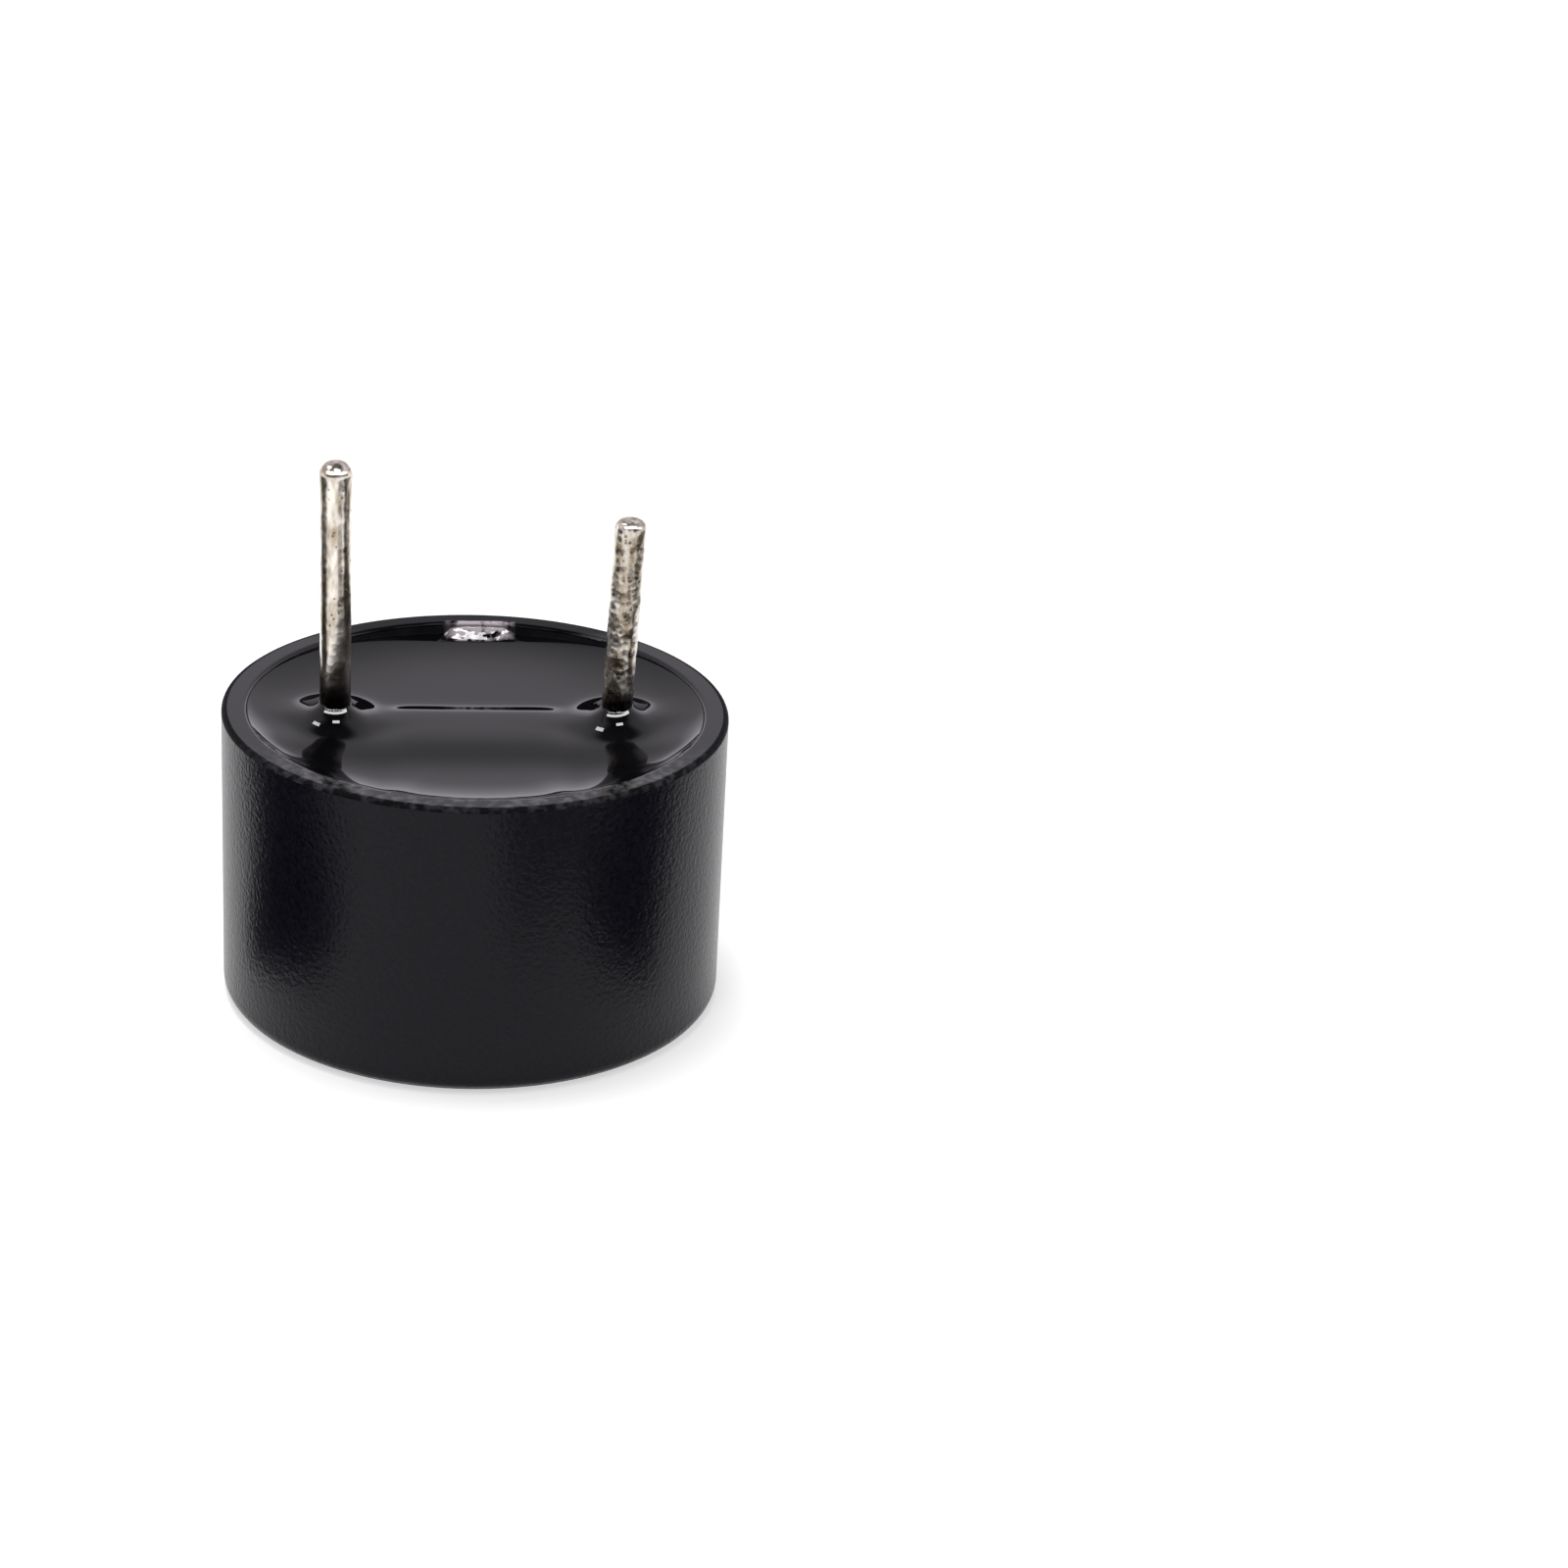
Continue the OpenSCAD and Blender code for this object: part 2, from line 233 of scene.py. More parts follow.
# %% [markdown]
# ## Tools for finishes
# A finish starts from what the real material is. Colours are written as the sRGB codes one would pick
# from a photo and turned to linear light by one function. One more function adds a node with its settings
# and links, so that a finish reads as a short list of nodes. Patterns lie on Object coordinates, which
# are in metres, so a pattern of a given grain size in millimetres has a scale of a thousand divided by
# that size.

# %% Colour and node tools
def linear(code):
    """Linear RGBA of an sRGB hex code: c / 12.92 up to 0.04045, else ((c + 0.055) / 1.055) to the 2.4."""
    c = np.array([int(code[i:i + 2], 16) for i in (1, 3, 5)]) / 255
    return (*np.where(c <= 0.04045, c / 12.92, ((c + 0.055) / 1.055) ** 2.4), 1.0)


def per_mm(size):
    """Texture scale, in repeats per metre, of a pattern whose grain has this size in millimetres."""
    return 1 / (size * MM)


def add(tree, kind, inputs, **settings):
    """Adds a node, sets its properties, and sets or links each input by its name or number."""
    node = tree.nodes.new(kind)
    for name, value in settings.items():
        setattr(node, name, value)
    for key, value in inputs.items():
        if isinstance(value, bpy.types.NodeSocket):
            tree.links.new(value, node.inputs[key])
        else:
            node.inputs[key].default_value = value
    return node


# %% Tools for grain, places and tints
def grained(name, low, high, grain_mm, rough, relief=None, metallic=0.0, specular=0.5):
    """A finish whose colour and roughness wander between two values over grains.

    relief is the depth and the grain, in millimetres, of a fine bump on top.
    """
    finish = bpy.data.materials.new(name)
    finish.use_nodes = True
    tree = finish.node_tree
    shader = tree.nodes["Principled BSDF"]
    shader.inputs["Metallic"].default_value = metallic
    shader.inputs["Specular IOR Level"].default_value = specular
    place = add(tree, "ShaderNodeTexCoord", {}).outputs["Object"]
    cloud = {"Vector": place, "Scale": per_mm(grain_mm), "Detail": 4.0}
    cloud = add(tree, "ShaderNodeTexNoise", cloud).outputs["Fac"]
    share = {"Value": cloud, "From Min": 0.35, "From Max": 0.65}
    share = add(tree, "ShaderNodeMapRange", share).outputs["Result"]
    tint = add(tree, "ShaderNodeMix", {0: share, 6: linear(low), 7: linear(high)}, data_type="RGBA")
    gloss = add(tree, "ShaderNodeMapRange", {"Value": cloud, "To Min": rough[0], "To Max": rough[1]})
    tree.links.new(tint.outputs[2], shader.inputs["Base Color"])
    tree.links.new(gloss.outputs["Result"], shader.inputs["Roughness"])
    if relief:
        depth_mm, pit_mm = relief
        pits = add(tree, "ShaderNodeTexNoise", {"Vector": place, "Scale": per_mm(pit_mm), "Detail": 2.0})
        bump = add(tree, "ShaderNodeBump", {"Height": pits.outputs["Fac"], "Distance": depth_mm * MM})
        tree.links.new(bump.outputs["Normal"], shader.inputs["Normal"])
    return finish


def along(tree, axis, start, end, before=0.0, after=1.0):
    """A value that passes from before to after between two places on an axis, in millimetres.

    With a share from another node as after, it is the product of that share and its own.
    """
    place = add(tree, "ShaderNodeTexCoord", {}).outputs["Object"]
    way = add(tree, "ShaderNodeSeparateXYZ", {0: place}).outputs[axis]
    levels = {"Value": way, "From Min": start * MM, "From Max": end * MM, "To Min": before, "To Max": after}
    return add(tree, "ShaderNodeMapRange", levels).outputs["Result"]


def blotches(tree, grain_mm, contrast):
    """A share that is 1 in blotches of this grain and 0 between: noise, stretched between two levels."""
    place = add(tree, "ShaderNodeTexCoord", {}).outputs["Object"]
    cloud = {"Vector": place, "Scale": per_mm(grain_mm), "Detail": 3.0}
    cloud = add(tree, "ShaderNodeTexNoise", cloud).outputs["Fac"]
    levels = {"Value": cloud, "From Min": contrast[0], "From Max": contrast[1]}
    return add(tree, "ShaderNodeMapRange", levels).outputs["Result"]


def tinted(finish, share, code):
    """Lays a colour over a finish's own colour, as far as a share says."""
    tree = finish.node_tree
    colour = tree.nodes["Principled BSDF"].inputs["Base Color"]
    layers = {0: share, 6: colour.links[0].from_socket, 7: linear(code)}
    tree.links.new(add(tree, "ShaderNodeMix", layers, data_type="RGBA").outputs[2], colour)


# %% [markdown]
# ## The case
# The case is a cup of black engineering plastic, moulded in one shot. Its side came out of a polished
# mould and is satin with a faint grain. Its sound face came out of a spark-eroded mould and is matt with
# a fine sparkle, and the floor of its mark is painted paler, a painted sheen. The rim is wet with resin at
# the sides and dull at the back, with paler blotches in front that are a painted highlight. Its outer edge
# is matt and painted dark, a painted shade line. The cup could be a cylinder with bevels and a boolean for
# the mark. A turned profile is chosen because its roundings are true arcs. The mark, a plus in a ring, is
# sunk by moving the face's own grid points, which crowd there, so that the case stays one closed skin.

# %% Finishes of the case
wet_specular, dull_specular = 0.5, 0.06
wet_until_y, dull_from_y = 3.0, 3.6
# Place and grain of the painted highlight towards the front of the rim.
front_highlight_from_y, front_highlight_full_y = -1.6, -3
front_highlight_grain, front_highlight_contrast = 0.16, (0.42, 0.66)

# Satin black: soft reflections, broken by a grain drawn coarser than the real one so that it shows.
case_side = grained(
    "moulded_black_plastic", "#0e0e17", "#171722",
    grain_mm=0.09, rough=(0.22, 0.28), relief=(0.0115, 0.08), specular=0.17,
)
# Matt plastic, nearly without reflection and painted darker than the rim: a painted shade line along the
# edge.
case_edge = grained(
    "matt_plastic_edge", "#08080a", "#0e0e11",
    grain_mm=0.11, rough=(0.45, 0.7), relief=(0.004, 0.09), specular=0.05,
)
# A coat of resin: as glossy as the resin beside it, with paler blotches in front painted as a highlight.
case_rim = grained(
    "wet_plastic_rim_front_highlight", "#0e0e11", "#141418",
    grain_mm=0.12, rough=(0.04, 0.1), relief=(0.0008, 0.09), specular=wet_specular,
)
# The inner wall is paler, as dust and dried resin leave it.
case_inside = grained(
    "moulded_plastic_inside", "#2b2b31", "#36363c",
    grain_mm=0.3, rough=(0.3, 0.4), specular=0.3,
)
# Spark erosion leaves pits of 0.06 mm, which sparkle. The floor of the mark is painted paler: a painted
# sheen for the light its smooth floor reflects.
case_face = grained(
    "spark_eroded_plastic_face", "#18181b", "#2a2a2e",
    grain_mm=0.07, rough=(0.45, 0.62), relief=(0.012, 0.06), specular=0.4,
)
# Painted sheen: paler colour on the mark's sunk floor.
mark_sheen_from, mark_sheen_full = 0.4 * mark_depth, 0.8 * mark_depth
tinted(case_face, along(case_face.node_tree, "Z", mark_sheen_from, mark_sheen_full), "#6e6e74")


def painted_front_highlight(finish, code):
    """Painted highlight: paler blotches that come in towards the front, where the rim faces the light."""
    tree = finish.node_tree
    highlight_blotches = blotches(tree, front_highlight_grain, front_highlight_contrast)
    tinted(finish, along(tree, "Y", front_highlight_from_y, front_highlight_full_y, after=highlight_blotches), code)


# Painted highlight: paler blotches towards the front, on the rim and on its edge.
painted_front_highlight(case_rim, "#55555a")
painted_front_highlight(case_edge, "#3c3c40")
rim_tree = case_rim.node_tree
rim_gloss = along(rim_tree, "Y", wet_until_y, dull_from_y, wet_specular, dull_specular)
rim_tree.links.new(rim_gloss, rim_tree.nodes["Principled BSDF"].inputs["Specular IOR Level"])

case_finishes = [case_side, case_face, case_rim, case_inside, case_edge]
print("case finishes:", [finish.name for finish in case_finishes])

# %% Shape of the case
def mark_sink(x, y, soft=0.02):
    """Depth of the mark: full inside its lines and none outside, with a soft wall.

    The distance to the ring's line and to each round-ended bar of the plus is measured, and the nearest one
    counts.
    """
    u, v = x - mark_x, y
    ring = np.abs(np.hypot(u, v) - (mark_d - mark_line) / 2)
    reach = (mark_plus_l - mark_line) / 2
    bar_u = np.hypot(np.maximum(np.abs(u) - reach, 0), v)
    bar_v = np.hypot(u, np.maximum(np.abs(v) - reach, 0))
    outside = np.minimum(ring, np.minimum(bar_u, bar_v)) - mark_line / 2
    share = np.clip(0.5 - outside / (2 * soft), 0, 1)
    return mark_depth * share * share * (3 - 2 * share)


case_corners = [
    (hole_r, 0), (case_r, 0), (case_r, case_h), (bore_r, case_h),
    (bore_r, seat_z), (chamber_r, seat_z), (chamber_r, face_t), (hole_r, face_t),
]
case_edges = [small_edge_r, face_edge_r, rim_outer_r, rim_inner_r] + [small_edge_r] * 4
face_rows, side_rows, other_rows = 140, 10, 4
case_columns, mark_crowd, mark_reach = 232, 6, 0.45
case_rows = [face_rows, side_rows] + [other_rows] * 6
case_profile = rounded(case_corners, case_edges, case_rows, closed=True)
case_turns = spread(0, 2 * np.pi, case_columns + 1, lambda a: 1 + mark_crowd * hump(a, np.pi, mark_reach))
case_grid = revolve(case_profile, case_turns[:-1])
on_face = case_profile[:, 1] < face_edge_r / 2
case_grid[on_face, :, 2] += mark_sink(case_grid[on_face, :, 0], case_grid[on_face, :, 1])

# %% Mesh of the case
# The dark edge finish reaches onto the flat rim without a change of shape: a painted shade band.
dark_band_w = 0.015
edge_w = rim_outer_r + dark_band_w
middle = (case_profile + np.roll(case_profile, -1, 0)) / 2
is_rim = (middle[:, 1] > case_h - rim_inner_r) & (middle[:, 0] < case_r - edge_w)
is_face = (middle[:, 1] < face_edge_r / 2) & (middle[:, 0] > hole_r)
is_edge = (middle[:, 1] > case_h - rim_outer_r) & ~is_rim
is_inside = (middle[:, 0] < bore_r + small_edge_r) & ~is_rim & ~is_face
case_finish = np.select([is_face, is_rim, is_inside, is_edge], [1, 2, 3, 4], 0)
case = closed_piece("case_shell", case_grid, True, case_finishes, case_finish)
stand_for(case, "case")

# %% [markdown]
# ## The pins
# The pins are wire that was dipped in hot tin. The tin runs and sets in soft lumps and goes tan where it
# oxidises, and its colour is darker towards the foot. A plain cylinder with a bump texture would keep a
# dead straight outline. So each pin is a turned profile whose radius wanders by a few microns: a sum of
# waves, each with a whole number of lobes round the pin, so that the seam closes. The long pin ends in a
# swollen dome, the short one in a flatter, cut end.

# %% Finish of the pins
streak_grain, streak_stretch = 0.16, 0.35
speck_core, speck_share = 0.6, 0.75
foot_dark_full, foot_dark_share = 0.25, 0.93


def hot_dipped_tin(name, speck_mm, speck_size, rough, relief_mm, foot_dark_h):
    """Warm silver tin, streaked along the wire and tan in places, with flux specks and darker towards the
    foot.
    """
    finish = bpy.data.materials.new(name)
    finish.use_nodes = True
    tree = finish.node_tree
    shader = tree.nodes["Principled BSDF"]
    shader.inputs["Metallic"].default_value = 1.0
    place = add(tree, "ShaderNodeTexCoord", {}).outputs["Object"]
    drawn = {"Vector": place, "Scale": (1.0, 1.0, streak_stretch)}
    drawn = add(tree, "ShaderNodeMapping", drawn).outputs["Vector"]
    streak = {"Vector": drawn, "Scale": per_mm(streak_grain), "Detail": 5.0}
    streak = add(tree, "ShaderNodeTexNoise", streak).outputs["Fac"]
    bright = {"Value": streak, "From Min": 0.35, "From Max": 0.62}
    bright = add(tree, "ShaderNodeMapRange", bright).outputs["Result"]
    tin = {0: bright, 6: linear("#ab9c86"), 7: linear("#f3ede3")}
    tin = add(tree, "ShaderNodeMix", tin, data_type="RGBA").outputs[2]
    tree.links.new(tin, shader.inputs["Base Color"])
    cells = {"Vector": place, "Scale": per_mm(speck_mm)}
    cells = add(tree, "ShaderNodeTexVoronoi", cells).outputs["Distance"]
    specks = {"Value": cells, "From Min": speck_core * speck_size, "From Max": speck_size}
    specks = {**specks, "To Min": speck_share, "To Max": 0.0}
    specks = add(tree, "ShaderNodeMapRange", specks).outputs["Result"]
    tinted(finish, specks, "#4a3d2e")
    # Darker towards the foot, over the lowest part of the wire above the resin.
    foot_dark_from, foot_dark_to = exit_z + foot_dark_full * foot_dark_h, exit_z + foot_dark_h
    tinted(finish, along(tree, "Z", foot_dark_from, foot_dark_to, foot_dark_share, 0.0), "#2b2620")
    gloss = add(tree, "ShaderNodeMapRange", {"Value": streak, "To Min": rough[0], "To Max": rough[1]})
    bump = add(tree, "ShaderNodeBump", {"Height": cells, "Distance": relief_mm * MM})
    tree.links.new(gloss.outputs["Result"], shader.inputs["Roughness"])
    tree.links.new(bump.outputs["Normal"], shader.inputs["Normal"])
    return finish


# The long pin's tin ran smooth and bright. The short pin's is rougher, with more flux left in it.
long_pin_tin = hot_dipped_tin(
    "hot_dipped_tin_smooth",
    speck_mm=0.15, speck_size=0.2, rough=(0.17, 0.27), relief_mm=0.004, foot_dark_h=0.8,
)
short_pin_tin = hot_dipped_tin(
    "hot_dipped_tin_rough",
    speck_mm=0.13, speck_size=0.3, rough=(0.22, 0.34), relief_mm=0.011, foot_dark_h=0.55,
)
print("pin finishes:", long_pin_tin.name, short_pin_tin.name)

# %% Shape of the pins
root_r, core_r = 0.25, 0.02
pin_columns, pin_rows = 64, [2, 12, 190, 4]
swell_below_tip, swell_h, lumps_from = 0.22, 0.2, 0.3
lump_wave, lump_lobes = 0.7, (1, 1, 2, 2, 3, 3, 4, 5)


def lumps(angle, height, seed, size):
    """Height of set tin: a sum of cosine waves, each with whole lobes round the pin and a random phase."""
    draw = np.random.default_rng(seed)
    total = 0
    for lobes in lump_lobes:
        rise = draw.normal(0, 2 * np.pi / lump_wave)
        total = total + np.cos(lobes * angle + rise * height + draw.uniform(0, 2 * np.pi)) / lobes ** 0.5
    return size * total / len(lump_lobes) ** 0.5


def pin_grid(name, tip_r, swell, lump, seed):
    """A pin turned round its own axis and laid on its mount's line: a tapered root, a wire, a rounded tip.

    Lumps begin a little above the resin, and a bell curve of this swell widens the wire below its tip.
    """
    axis = np.array(mounts[name]["axis"])
    exit_point = np.array(mounts[name]["pos_m"]) / MM
    exit_point = exit_point + axis * (exit_z - exit_point[2]) / axis[2]
    free = (box_mm(name)[1][2] - exit_z) / axis[2]
    foot = foot_z - exit_z
    corners = [(core_r, foot), (root_r, foot), (pin_r, 0), (pin_r, free), (core_r, free)]
    profile = rounded(corners, [0, 0, 0, tip_r, 0], pin_rows, closed=False, arc_steps=12)
    angles = np.linspace(0, 2 * np.pi, pin_columns, endpoint=False)
    radius, height = profile[:, :1], profile[:, 1:]
    bare = np.clip(height / lumps_from, 0, 1) * radius / pin_r
    bulge = swell * np.exp(-(((height - free + swell_below_tip) / swell_h) ** 2))
    radius = radius + bare * (bulge + lumps(angles, height, seed, lump))
    back = np.array([0, 1, 0])
    across, deep = radius * np.cos(angles), radius * np.sin(angles)
    sideways = across[..., None] * np.cross(back, axis) + deep[..., None] * back
    return exit_point + sideways + (height + 0 * across)[..., None] * axis


long_grid = pin_grid("positive_pin", tip_r=0.24, swell=0.018, lump=0.0018, seed=4)
short_grid = pin_grid("negative_pin", tip_r=0.14, swell=0.0, lump=0.006, seed=9)
long_pin = closed_piece("long_pin", long_grid, False, [long_pin_tin])
short_pin = closed_piece("short_pin", short_grid, False, [short_pin_tin])
stand_for(long_pin, "positive_pin")
stand_for(short_pin, "negative_pin")

# %% [markdown]
# ## The potting resin
# Black epoxy was poured in behind the board and set to a mirror. Surface tension draws it up to the rim,
# and it sank towards the front as it set. A low bank runs between the pins, a mound stands behind each of
# them, and a collar climbs each pin, conical in front. At the back the resin let go of the rim, and a
# lumpy smear of hardener climbs the wall; pale pink blotches on it are a painted highlight for its glints.
# It could be sculpted, but a mirror shows every slope, so it is one formula instead: a height over the
# round opening. The dark line between the pins is the wall, seen in the back slope of the bank.

# %% Finish of the resin
# Place and fade, in millimetres, of the painted highlight on the smear.
smear_glint_x, smear_glint_reach, smear_glint_start, smear_glint_end = 0.15, 0.68, 3.84, 4.14
smear_glint_fade_x, smear_glint_fade_front, smear_glint_fade_back = 0.4 * smear_glint_reach, 0.05, 0.06
smear_glint_left, smear_glint_right = smear_glint_x - smear_glint_reach, smear_glint_x + smear_glint_reach
smear_glint_grain, smear_glint_contrast = 0.17, (0.38, 0.56)

# Cast epoxy is a black mirror.
resin_black = grained("black_potting_epoxy", "#0b0b0d", "#0f0f11", grain_mm=1.2, rough=(0.006, 0.012))


def painted_smear_glints(finish):
    """Pale pink blotches in a patch that fade out at all four sides: a painted highlight for glints on the
    smear.
    """
    tree = finish.node_tree
    glint_share = blotches(tree, smear_glint_grain, smear_glint_contrast)
    glint_share = along(tree, "X", smear_glint_left, smear_glint_left + smear_glint_fade_x, after=glint_share)
    glint_share = along(tree, "X", smear_glint_right, smear_glint_right - smear_glint_fade_x, after=glint_share)
    glint_share = along(tree, "Y", smear_glint_start, smear_glint_start + smear_glint_fade_front, after=glint_share)
    glint_share = along(tree, "Y", smear_glint_end, smear_glint_end - smear_glint_fade_back, after=glint_share)
    tinted(finish, glint_share, "#ebe0e9")


# Painted highlight: the pale pink patch at the back lies on the resin, the inner wall and the rim.
smear_glint_finishes = [resin_black, case_inside, case_rim]
for finish in smear_glint_finishes:
    painted_smear_glints(finish)
print("smeared:", [finish.name for finish in smear_glint_finishes])

# %% Level of the resin away from the pins
pool_z = case_h - 0.43
bank_h, bank_y, bank_w, bank_half, bank_between = 0.092, 0.78, 0.21, 1.48, 0.1
sink_h, sink_y, sink_w = 0.2, -1.1, 0.42
contact_z, contact_w, contact_back_w, contact_front_w = case_h - 0.04, 0.62, 0.5, 0.7
front_at, front_reach = np.radians(-90), np.radians(30)
let_go_h, let_go_at, let_go_reach = 0.2, np.radians(90), np.radians(45)
smear_h, smear_w, smear_at, smear_half = 0.15, 0.18, np.radians(88), np.radians(9)
smear_lump, smear_grain, smear_lump_rise = 0.006, 0.16, 4


def turn_from(angle, centre):
    """Angle from a direction, wrapped to lie between minus and plus half a turn."""
    return (angle - centre + np.pi) % (2 * np.pi) - np.pi


def ahead_of(y, start, width):
    """Share from 0 behind a line across the buzzer to 1 in front of it: half of 1 minus a tanh."""
    return (1 - np.tanh((y - start) / width)) / 2


def pool(x, y):
    """Level away from wall and pins: the pool, a bank that ends at both mounds, the sink at the front."""
    bank = bank_between + (1 - bank_between) * hump(x, 0, bank_half)
    return pool_z + bank_h * bank * ahead_of(y, bank_y, bank_w) - sink_h * ahead_of(y, sink_y, sink_w)


def ripple(x, y, grain, seed, waves=16, shortest=0.8, longest=1.8):
    """Small lumps: cosine waves in random directions, from shortest to longest grains in length.

    Their phases are random too, and their sum is divided by the root of their number.
    """
    draw = np.random.default_rng(seed)
    total = 0
    for heading, start in draw.uniform(0, 2 * np.pi, (waves, 2)):
        wave = 2 * np.pi / (grain * draw.uniform(shortest, longest))
        total = total + np.cos(wave * (x * np.cos(heading) + y * np.sin(heading)) + start)
    return total / waves ** 0.5


def drawn_to_wall(x, y):
    """The pool, drawn to the wall's contact line as exp of minus the distance from the wall.

    Towards the back the contact line comes down. There a lumpy smear climbs the wall in a straight slope.
    """
    radius, angle = np.hypot(x, y), np.arctan2(y, x)
    let_go = np.exp(-((turn_from(angle, let_go_at) / let_go_reach) ** 2))
    at_wall = pool(bore_r * np.cos(angle), bore_r * np.sin(angle))
    climb = contact_z - let_go_h * let_go - at_wall
    front = np.exp(-((turn_from(angle, front_at) / front_reach) ** 2))
    width = contact_w + (contact_back_w - contact_w) * let_go + (contact_front_w - contact_w) * front
    smear = np.clip(1 - (bore_r - radius) / smear_w, 0, 1) * hump(turn_from(angle, smear_at), 0, smear_half)
    lumpy = np.minimum(smear_lump_rise * smear, 1) * smear_lump * ripple(x, y, smear_grain, seed=3)
    return pool(x, y) + climb * np.exp((radius - bore_r) / width) + smear * smear_h + lumpy


# %% Mounds and collars of the resin
mound_h, mound_w, mound_back = 0.22, 0.33, 0.58
lip_h, lip_w = 0.42, 0.3
cone_slope, cone_w, cone_soft, cone_blend = 0.6, 0.42, 0.07, 0.3
cone_lip_h, cone_lip_w = 0.16, 0.1


def from_pin(name, x, y):
    """Distance of points at the level where the pins leave the resin from the line of a pin."""
    axis = np.array(mounts[name]["axis"])
    offset = np.stack([x, y, np.full_like(x, exit_z)], -1) - np.array(mounts[name]["pos_m"]) / MM
    return np.linalg.norm(offset - (offset @ axis)[..., None] * axis, axis=-1)


def collar(away, front):
    """Height of the collar round a pin, away from its skin: a lip behind and a blunt cone in front.

    The lip is exp of minus the distance. The cone falls at an even slope and runs out softly, as the
    logarithm of 1 plus an exp does, with a finer lip at the pin.
    """
    lip = lip_h * np.exp(-away / lip_w)
    cone = cone_slope * cone_soft * np.log1p(np.exp((cone_w - away) / cone_soft))
    return lip + front * (cone + cone_lip_h * np.exp(-away / cone_lip_w) - lip)


def resin_height(x, y):
    """Level of the resin: the pool drawn to the wall, and for each pin a bell-curve mound and a collar."""
    height = drawn_to_wall(x, y)
    for name in ("positive_pin", "negative_pin"):
        behind = from_pin(name, x, y - mound_back)
        height = height + mound_h * np.exp(-((behind / mound_w) ** 2) / 2)
        height = height + collar(np.maximum(from_pin(name, x, y) - pin_r, 0), ahead_of(y, 0, cone_blend))
    return height


# %% Mesh of the resin
pin_at = abs(mounts["positive_pin"]["pos_m"][0]) / MM
resin_columns, resin_rows, wall_rows, middle_r = 440, 200, 5, 0.04
under_shares = [0.7, 0.3, 0.01]
pin_crowd, pin_crowd_w = 3, 0.8
bank_crowd, bank_crowd_w, bank_crowd_back = 2.5, 0.6, 0.3
wall_crowd, wall_crowd_w = 3, 0.3
column_crowd, pin_half_turn, smear_spare = 8, 0.34, 1.1


def crowd_radius(r):
    """Rows crowd where the pins stand, at the bank and along the wall."""
    pins = hump(r, pin_at, pin_crowd_w)
    bank = hump(r, bank_y + bank_crowd_back, bank_crowd_w)
    wall = np.exp(-(((bore_r - r) / wall_crowd_w) ** 2))
    return 1 + pin_crowd * pins + bank_crowd * bank + wall_crowd * wall


def crowd_angle(a):
    """Columns crowd at both pins and at the smear."""
    pins = hump(turn_from(a, 0), 0, pin_half_turn) + hump(turn_from(a, np.pi), 0, pin_half_turn)
    smear = hump(turn_from(a, smear_at), 0, smear_spare * smear_half)
    return 1 + column_crowd * (pins + smear)


resin_angles = spread(0, 2 * np.pi, resin_columns + 1, crowd_angle)[:-1]
top_radii = spread(middle_r, bore_r, resin_rows, crowd_radius)[:, None]
top = revolve(np.hstack([top_radii, 0 * top_radii]), resin_angles)
top[..., 2] = resin_height(top[..., 0], top[..., 1])
drop = np.linspace(0, 1, wall_rows + 1)[1:, None, None]
wall_foot = top[-1] * [1, 1, 0] + [0, 0, board_z]
side = top[-1] + drop * (wall_foot - top[-1])
under = wall_foot * [1, 1, 0] * np.array(under_shares)[:, None, None] + [0, 0, board_z]
resin = closed_piece("resin_fill", np.vstack([top, side, under]), False, [resin_black])
stand_for(resin, "potting_resin")

# %% [markdown]
# ## The pieces inside
# Everything between the sound face and the resin is sealed in, and only the tan armature disc can be
# seen, through the sound hole. New meshes would add nothing there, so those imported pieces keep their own.
# Each gets the finish of its real material, so that the buzzer can be taken apart on screen.

# %% Finishes with ridges
wire_mm, weave_mm, weave_relief = 0.08, 0.25, 0.01


def wave_scale(spacing):
    """Scale of a Wave texture whose ridges lie this far apart: its phase is 20 times scale times place."""
    return 2 * np.pi / (20 * spacing * MM)


def enamelled_copper(name):
    """Wound copper under amber enamel: ridges along the coil's axis, two wires apart so that they show."""
    finish = grained(name, "#8f4a1e", "#c9803f", grain_mm=0.4, rough=(0.22, 0.36), metallic=0.8)
    tree = finish.node_tree
    place = add(tree, "ShaderNodeTexCoord", {}).outputs["Object"]
    turns = {"Vector": place, "Scale": wave_scale(2 * wire_mm)}
    turns = add(tree, "ShaderNodeTexWave", turns, wave_type="BANDS", bands_direction="Z").outputs["Fac"]
    bump = add(tree, "ShaderNodeBump", {"Height": turns, "Distance": wire_mm / 2 * MM}).outputs["Normal"]
    tree.links.new(bump, tree.nodes["Principled BSDF"].inputs["Normal"])
    return finish


def glass_epoxy(name):
    """Green laminate whose glass weave shows as two crossed sets of ridges, one on every second thread."""
    finish = grained(name, "#1f4a28", "#33693c", grain_mm=0.6, rough=(0.3, 0.42))
    tree = finish.node_tree
    place = add(tree, "ShaderNodeTexCoord", {}).outputs["Object"]
    threads = {"Vector": place, "Scale": wave_scale(2 * weave_mm)}
    warp = add(tree, "ShaderNodeTexWave", threads, bands_direction="X").outputs["Fac"]
    weft = add(tree, "ShaderNodeTexWave", threads, bands_direction="Y").outputs["Fac"]
    both = add(tree, "ShaderNodeMath", {0: warp, 1: weft}, operation="MULTIPLY").outputs["Value"]
    bump = add(tree, "ShaderNodeBump", {"Height": both, "Distance": weave_relief * MM}).outputs["Normal"]
    tree.links.new(bump, tree.nodes["Principled BSDF"].inputs["Normal"])
    return finish


copper = enamelled_copper("enamelled_copper_wire")
laminate = glass_epoxy("glass_epoxy_laminate")
print("ridged finishes:", copper.name, laminate.name)

